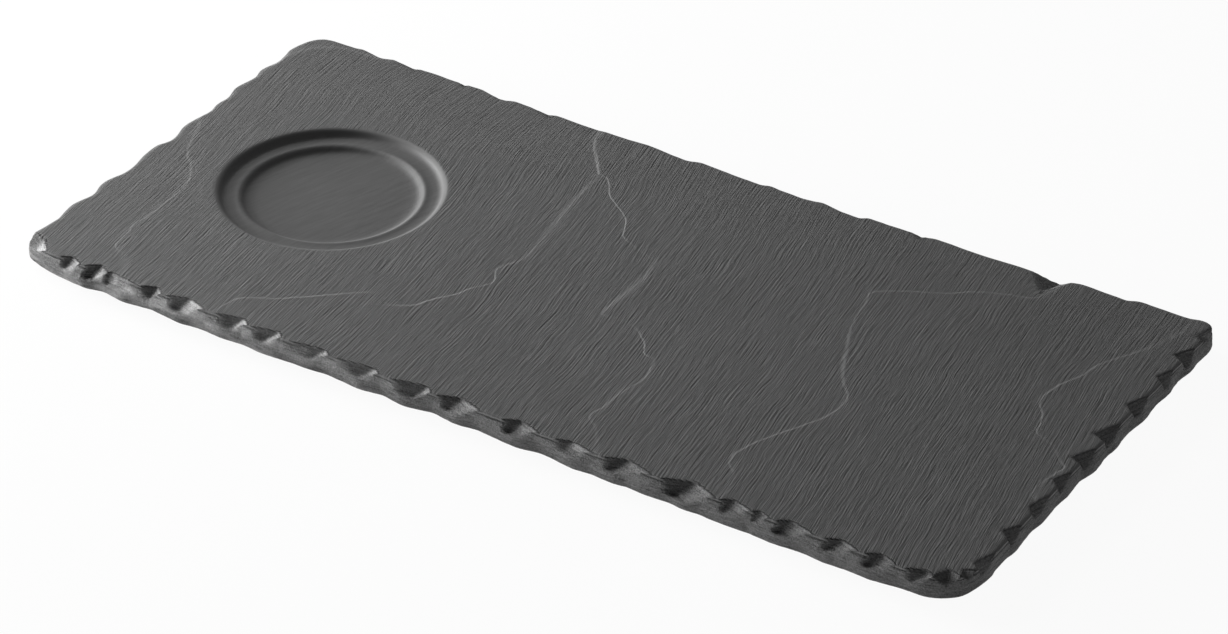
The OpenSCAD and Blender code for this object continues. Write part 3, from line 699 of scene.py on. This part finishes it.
def chipFrames():
    # each chip as its start, bite, end and foot on the plate, its drop and the way it faces
    found = []
    for name, axis, outward in (("front", 0, np.array([0.0, -1.0])), ("right", 1, np.array([1.0, 0.0]))):
        for start, bite, end, depth, foot, drop in chips[name]:
            places = np.array([start, bite, end, foot], float)
            edge = np.array(rim[name], float)
            other = np.interp(places, edge[:, axis], edge[:, 1 - axis])
            spots = putOn(np.column_stack([places, other] if axis == 0 else [other, places]))
            spots[1] -= depth * outward
            spots[3] += chips["footOut"] * outward
            found.append((*spots, drop, outward))
    for start, bite, end, foot, drop in chips["loose"]:
        spots = putOn([start, bite, end, foot])
        run = spots[2] - spots[0]
        outward = unit(np.array([run[1], -run[0]]))
        found.append((*spots, drop, outward * np.sign(outward @ (spots[3] - spots[1]))))
    return found


def carve(points):
    # each chip is a valley between two planes. What stands above both is pushed in and down
    # until it meets the nearer one, and where chips overlap the deeper push holds. The wall on a
    # chip's starting side gets a painted shade; the other wall gets a painted highlight.
    moved = points.copy()
    depthCut, paintedShade, paintedHighlight = np.zeros((3, len(points)))
    for start, bite, end, foot, drop, outward in chipFrames():
        level = topHeight(bite[:1], bite[1:])[0]
        top, valley = np.array([*bite, level]), np.array([*(foot - bite), -drop])
        reach = max(math.dist(start, bite), math.dist(end, bite)) + chips["margin"]
        near = np.where((np.hypot(*(points[:, :2] - bite).T) < reach)
                        & (points[:, 2] > body["under"] + chips["lowest"]))[0]
        push = unit(-np.array([*outward, 1.0]))
        shares = []
        for tip in (start, end):
            # how far a point has to go along push to meet the plane through the valley and this tip
            normal = np.cross([*(tip - bite), 0.0], valley)
            shares.append(((points[near] - top) @ normal) / -(normal @ push))
        first, second = shares
        k = chips["softness"]
        mix = np.clip(0.5 + 0.5 * (second - first) / k, 0, 1)
        t = second * (1 - mix) + first * mix - k * mix * (1 - mix)
        # the chip ends below in a shelf, where the side stands on outside it
        shelf = chips["shelfFrom"] * drop
        t = np.maximum(t, 0) * (1 - ease(level - points[near, 2], shelf, shelf + chips["shelfOver"]))
        deeper = t > depthCut[near]
        chosen = near[deeper]
        depthCut[chosen] = t[deeper]
        moved[chosen] = points[chosen] + push * t[deeper][:, None]
        paintedShade[chosen] = (ease(t, *chips["shadeDepth"]) * ease(second - first, *chips["shadeLead"]))[deeper]
        paintedHighlight[chosen] = (ease(t, *chips["highlightDepth"]) * ease(first - second, *chips["highlightLead"]))[deeper]
    return moved, depthCut, paintedShade, paintedHighlight


def finishMasks(points, cut, paintedShade, paintedHighlight):
    # what the finish reads: how far a point is on the top's grain, on a broken face or in the recess,
    # how much painted shade and painted highlight a chip's wall takes, and the signed distance from each
    # cleft
    x, y = points[:, 0], points[:, 1]
    r = np.hypot(x - cup["centre"][0], y - cup["centre"][1])
    low = ease(topLevel - points[:, 2], *shell["brokenBelow"]) * (r > cup["clear"])
    broken = np.maximum(ease(cut, *shell["brokenCut"]), low)
    masks = {"grain": ease(r, *cup["grained"]) * (1 - broken), "recess": ease(r, *cup["smooth"]),
             "broken": broken, "paintedShade": paintedShade, "paintedHighlight": paintedHighlight,
             "cleft_width": np.ones(len(points)), "cleft_strength": np.zeros(len(points))}
    nearest = np.full(len(points), clefts["noticed"])
    for name in cleftLines:
        signed, width, strength = cleftDistance(name, x, y)
        masks["cleft_" + name] = np.clip(signed, -clefts["reach"], clefts["reach"])
        closer = (np.abs(signed) < nearest) & (strength > 0)
        masks["cleft_width"][closer] = width[closer]
        masks["cleft_strength"][closer] = strength[closer]
        nearest[closer] = np.abs(signed)[closer]
    return masks


def makePlate():
    mesh = Mesh()
    border, square = makeTopField(mesh)
    makeRecess(mesh, square)
    makeUnderside(mesh, *makeSide(mesh, border))
    whole = np.vstack(mesh.points)
    points, cut, paintedShade, paintedHighlight = carve(whole)
    # chipped faces are rough, with the layers of the stone showing
    points[:, 2] += ease(cut, *shell["chippedCut"]) * relief("chipped", points[:, 0], points[:, 1])
    # in plan, nothing stands out past the solid's own box
    margin = shell["margin"]
    points[:, :2] = np.clip(points[:, :2], plateLow[:2] + margin, plateHigh[:2] - margin)
    data = bpy.data.meshes.new("slatePlate")
    data.from_pydata(points * mm, [], [face for faces in mesh.faces for face in faces.tolist()])
    data.validate()
    data.shade_smooth()
    for name, values in finishMasks(whole, cut, paintedShade, paintedHighlight).items():
        layer = data.attributes.new(name, "FLOAT", "POINT")
        layer.data.foreach_set("value", values.astype(np.float32))
    triangles = sum(len(faces) * (faces.shape[1] - 2) for faces in mesh.faces)
    print("plate made:", len(points), "points,", triangles, "triangles")
    return put("slatePlate", data)


# Below, a noise is a row of waves a millimetre along x, y and z, where it starts, detail and roughness,
# a ramp is where it is 0 and where it is 1, and a slope is its start, what it gains a millimetre, and
# its least and most
slate = {
    "colour": (0.085, 0.085, 0.085), "broken": (0.095, 0.095, 0.095), "roughness": 0.55, "gloss": 0.1,
    "tone": 0.87, "mottleTone": 0.16, "mottle": (0.05, 0.04, 0.05, 0, 3, 0.5),
    "fineTone": 0.07, "fineLift": 0.009, "fineRoughness": 0.12, "fine": (3.4, 3.4, 3.4, 0, 3, 0.65),
}

grain = {
    "lean": 0.15, "growth": 0.0005, "growthSlope": (1.0, -0.017, -0.9, 1.3),
    "wanderBy": 3.0, "wander": (0.03, 0.025, 0, 1, 2, 0.5),
    "waverBy": 0.9, "waver": (0.09, 0.075, 0, 5, 2, 0.5),
    "bend": 0.007, "bendFrom": 34.0, "bendRamp": (-35.0, -60.0),
    "hairLift": 0.17, "hairs": (2.9, 0.1, 0, 17, 2, 0.65),
    "coarseLift": 0.11, "coarse": (1.5, 0.045, 0, 7, 2, 0.6),
    "strokeDrop": 0.07, "strokes": (2.5, 0.075, 0, 11, 1, 0.5), "strokeRamp": (0.43, 0.305),
    "sliverLift": 0.049, "slivers": (2.3, 0.07, 0, 31, 1, 0.5), "sliverRamp": (0.58, 0.705),
    "bundles": (0.09, 0.04, 0, 2, 2, 0.5), "bundleRamp": (0.4, 0.6), "loose": 0.35,
    "strokeTone": 0.1, "boldSlope": (1.6, 0.006, 0.85, 1.35),
}


def grainLook(sheet, x, y):
    # the lines of the grain lean to the left going back, more so at the back, and wander a little; in
    # the back left corner they bend the other way. Across is the place across them.
    growth = sheet.sloped(x, grain["growthSlope"])
    across = x + (grain["lean"] + grain["growth"] * y * growth) * y
    for name in ("wander", "waver"):
        across = across + grain[name + "By"] * (sheet.noise(grain[name], x, y) - 0.5)
    back = sheet.maths("MAXIMUM", y - grain["bendFrom"], 0.0)
    across = across - grain["bend"] * back * back * sheet.ramp(x, grain["bendRamp"])
    # hairs run everywhere; dark strokes and bright slivers lie where a noise is low or high, and gather
    # in bundles
    hairs, coarse = (sheet.noise(grain[name], across, y) - 0.5 for name in ("hairs", "coarse"))
    strokes, slivers, bundles = (sheet.ramp(sheet.noise(grain[name + "s"], across, y), grain[name + "Ramp"])
                                 for name in ("stroke", "sliver", "bundle"))
    marks = grain["sliverLift"] * slivers - grain["strokeDrop"] * strokes
    marks = marks * (grain["loose"] + (1 - grain["loose"]) * bundles)
    lift = grain["hairLift"] * hairs + grain["coarseLift"] * coarse + marks
    onTop = sheet.attribute("grain")
    return lift * sheet.sloped(x, grain["boldSlope"]) * onTop, -grain["strokeTone"] * strokes * onTop


def cleftLook(sheet, x, y):
    # a small ragged step, crisp where the line is narrow, that a gentle slope takes back, and a painted
    # highlight along its edge
    ragged = clefts["raggedBy"] * (sheet.noise(clefts["ragged"], x, y) - 0.5)
    width = sheet.attribute("cleft_width") * clefts["crispWidth"]
    steps, glint = 0.0, 0.0
    for name in cleftLines:
        signed = sheet.attribute("cleft_" + name) + ragged
        steps = sheet.step(signed / width, 0.5) - sheet.step(signed, clefts["gentle"]) + steps
        glint = sheet.peak(signed / width, clefts["glintSharpness"]) + glint
    strength = sheet.attribute("cleft_strength") * sheet.attribute("grain")
    return clefts["crispRise"] * steps * strength, clefts["glintTone"] * glint * strength * strength


ridge = {"centre": (-109.6, 42.1), "radius": 13.4, "sharpness": 1.3, "tone": 0.4, "drop": 0.16,
         "dropRamp": (0.0, 1.667), "backRamp": (31.67, 40.0), "leftRamp": (-98.33, -106.67)}


def ridgeLook(sheet, x, y):
    # a ridge with a pale line along it follows the rim round the back left corner, and outside it the top
    # falls a little
    toLeft = sheet.maths("MAXIMUM", ridge["centre"][0] - x, 0.0)
    toBack = sheet.maths("MAXIMUM", y - ridge["centre"][1], 0.0)
    past = sheet.hypotenuse(toLeft, toBack) - ridge["radius"]
    there = sheet.ramp(y, ridge["backRamp"]) * sheet.ramp(x, ridge["leftRamp"]) * sheet.attribute("grain")
    drop = -ridge["drop"] * sheet.ramp(past, ridge["dropRamp"])
    return drop * there, ridge["tone"] * sheet.peak(past, ridge["sharpness"]) * there


def recessLook(sheet, x, y):
    # smooth, with faint marks of brushing, and paler on its two rims, partly from the glaze thin there and
    # partly as a painted highlight
    smooth = sheet.attribute("recess")
    along, across = (a * x + b * y for a, b in (cup["brushedAlong"], cup["brushedAcross"]))
    brushed = sheet.noise(cup["brushed"], along, across)
    away = sheet.hypotenuse(x - cup["centre"][0], y - cup["centre"][1])
    rims = sum(sheet.peak(away - radius, cup["rimSharpness"]) for radius in cup["rims"])
    tone = cup["rimTone"] * rims + cup["brushedTone"] * (brushed - 0.5) * smooth
    return cup["brushedLift"] * brushed * smooth, tone


faces = {
    "layeredLift": 0.16, "layered": (0.182, 0.182, 2.47, 0, 4, 0.62), "shear": 0.25,
    "strataLift": 0.35, "strataTone": 2.2, "strata": (0.22, 0.22, 3.2, 0, 3, 0.7),
    "pitLift": 0.65, "pitTone": 2.8, "pits": (2.6, 2.6, 2.6, 0, 4, 0.75),
    "patches": (0.13, 0.13, 0.3, 0, 2, 0.5), "patchRamp": (0.43, 0.597),
    "paleTone": 1.1, "paleAlong": (10.0, -90.0), "paleFront": (-45.0, -50.0),
    "hollowShade": 0.6, "highlightSlope": (0.85, -0.002, 0.0, 2.0), "highlightFront": (-46.67, -50.0),
    "highlightBehind": 1.5, "highlightBack": (48.0, 50.0), "highlightLeast": 0.4,
}


def brokenLook(sheet, x, y, z):
    # broken faces are layered like split stone and pitted, and carry a painted highlight in patches along
    # the left half of the front edge
    layered = sheet.noise(faces["layered"], x, y, z)
    strata = sheet.noise(faces["strata"], x, y, z + faces["shear"] * layered)
    pits = sheet.noise(faces["pits"], x, y, z)
    patches = sheet.noise(faces["patches"], x, y, z)
    lift = faces["layeredLift"] * layered + faces["strataLift"] * strata
    lift = lift + faces["pitLift"] * pits
    # painted highlight in patches along the left half of the front edge
    pale = sheet.ramp(patches, faces["patchRamp"]) * sheet.ramp(x, faces["paleAlong"])
    tone = faces["paleTone"] * pale * sheet.ramp(y, faces["paleFront"])
    tone = tone + faces["strataTone"] * (strata - 0.5) + faces["pitTone"] * (pits - 0.5)
    # a painted shade darkens one wall of each chip, and a painted highlight lightens the other wall at the
    # front and back edges, more so to the left
    paintedHighlight = sheet.sloped(x, faces["highlightSlope"]) * sheet.ramp(y, faces["highlightFront"])
    paintedHighlight = paintedHighlight + faces["highlightBehind"] * sheet.ramp(y, faces["highlightBack"])
    paintedHighlight = paintedHighlight * sheet.attribute("paintedHighlight") * (faces["highlightLeast"] + patches)
    paintedLight = 1.0 - faces["hollowShade"] * sheet.attribute("paintedShade") + paintedHighlight
    broken = sheet.attribute("broken")
    return lift * broken, tone * broken, paintedLight


def slateFinish():
    sheet = Sheet(bpy.data.materials.new("slateCeramic"))
    x, y, z = sheet.place()
    fine = sheet.noise(slate["fine"], x, y, z)
    # the broken faces' lift and tone, and the painted shade and painted highlight of the chips' walls
    *looks, paintedLight = brokenLook(sheet, x, y, z)
    looks = [looks] + [look(sheet, x, y) for look in (grainLook, cleftLook, ridgeLook, recessLook)]
    lift = slate["fineLift"] * fine + sum(lift for lift, tone in looks)
    tone = slate["tone"] + slate["mottleTone"] * sheet.noise(slate["mottle"], x, y, z)
    tone = tone + slate["fineTone"] * (fine - 0.5) + sum(tone for lift, tone in looks)
    colour = sheet.wire("ShaderNodeMix", {"data_type": "RGBA"}, {
        0: sheet.attribute("broken"), 6: (*slate["colour"], 1), 7: (*slate["broken"], 1)}, output=2)
    roughness = slate["roughness"] + slate["fineRoughness"] * (fine - 0.5)
    return sheet.coated(colour, tone * paintedLight, roughness, lift, {"Specular IOR Level": slate["gloss"]})


plate = makePlate()
plate.data.materials.append(slateFinish())
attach(plate, "root")
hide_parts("plate")
print("plate finished")

pad = {"colour": (0.03, 0.03, 0.032), "roughness": 0.75, "gritLift": 0.04}
film = {"colour": (0.62, 0.62, 0.58), "roughness": 0.5, "gritLift": 0.01}
soft = {"grit": (4.0, 4.0, 4.0, 0, 3, 0.6), "tone": 0.85, "gritTone": 0.3, "gritRoughness": 0.1}


def softFinish(name, values):
    sheet = Sheet(bpy.data.materials.new(name))
    grit = sheet.noise(soft["grit"], *sheet.place())
    roughness = values["roughness"] + soft["gritRoughness"] * (grit - 0.5)
    tone = soft["tone"] + soft["gritTone"] * grit
    return sheet.coated(values["colour"], tone, roughness, values["gritLift"] * grit)


def dressFeet():
    rubber, adhesive = softFinish("padRubber", pad), softFinish("adhesiveFilm", film)
    for name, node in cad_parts.items():
        if name.startswith("foot_"):
            node.data.materials.clear()
            node.data.materials.append(rubber if "pad" in name else adhesive)


dressFeet()
print("feet dressed")

# the level of a lamp is what it adds to a white card turned to it; a strip's is its own brightness.
# The lamps' sizes and distance and the floor's size are in metres, and the strips' places in millimetres.
stage = {"floor": (0.8, 0.8, 0.8), "size": 6.0, "floorGlow": 0.94, "worldAmbient": 0.13,
         "lampDistance": 0.66, "stripHeight": 0.3}
lamps = {
    # azimuth, elevation, size and level
    "keyHigh": (165, 29, (0.31, 0.12), 0.54),
    "keyMiddle": (178, 18, (0.28, 0.095), 0.27),
    "keyLow": (187, 11, (0.22, 0.095), 1.2),
    "keyFoot": (190, 4.5, (0.25, 0.08), 1.4),
}
strips = {
    # middle, size and level
    "stripFront": ((0, -113), (0.4, 0.1), 2.3),
    "stripLeft": ((-177, 0), (0.1, 0.3), 1.6),
    "stripRight": ((178, 0), (0.1, 0.3), 0.9),
}


def addLamp(name, size, power, place, turn):
    light = bpy.data.lights.new(name, "AREA")
    light.energy = power
    light.shape = "RECTANGLE"
    light.size, light.size_y = size
    holder = put(name, light)
    holder.location = place
    holder.rotation_euler = turn
    holder.visible_camera = False


def makeFloor():
    half = stage["size"] / 2
    data = bpy.data.meshes.new("floor")
    corners = [(-half, -half, 0), (half, -half, 0), (half, half, 0), (-half, half, 0)]
    data.from_pydata(corners, [], [(0, 1, 2, 3)])
    floor = put("floor", data)
    sheet = Sheet(bpy.data.materials.new("floorPaper"))
    paper = sheet.wire("ShaderNodeBsdfDiffuse", {}, {"Color": (*stage["floor"], 1)})
    glow = sheet.wire("ShaderNodeEmission", {}, {"Color": (1, 1, 1, 1), "Strength": 1.0})
    share = stage["floorGlow"] * sheet.seen()
    data.materials.append(sheet.finish(sheet.wire("ShaderNodeMixShader", {}, {0: share, 1: paper, 2: glow})))


def lightStage():
    for name, (azimuth, elevation, size, level) in lamps.items():
        aim = direction(azimuth, elevation)
        power = level * (math.pi * stage["lampDistance"]) ** 2
        addLamp(name, size, power, aim * stage["lampDistance"], aim.to_track_quat("Z", "Y").to_euler())
    for name, (middle, size, level) in strips.items():
        power = level * math.pi * size[0] * size[1]
        addLamp(name, size, power, Vector((*middle, stage["stripHeight"])) * mm, (math.pi, 0, 0))
    world = bpy.data.worlds.new("studio")
    bpy.context.scene.world = world
    sheet = Sheet(world)
    ambient, white = (sheet.wire("ShaderNodeBackground", {}, {0: (1, 1, 1, 1), 1: strength})
                      for strength in (stage["worldAmbient"], 1.0))
    sky = sheet.wire("ShaderNodeMixShader", {}, {0: sheet.seen(), 1: ambient, 2: white})
    sheet.finish(sky, "ShaderNodeOutputWorld")
    bpy.context.scene.view_settings.view_transform = "Standard"


makeFloor()
lightStage()
print("stage lit")
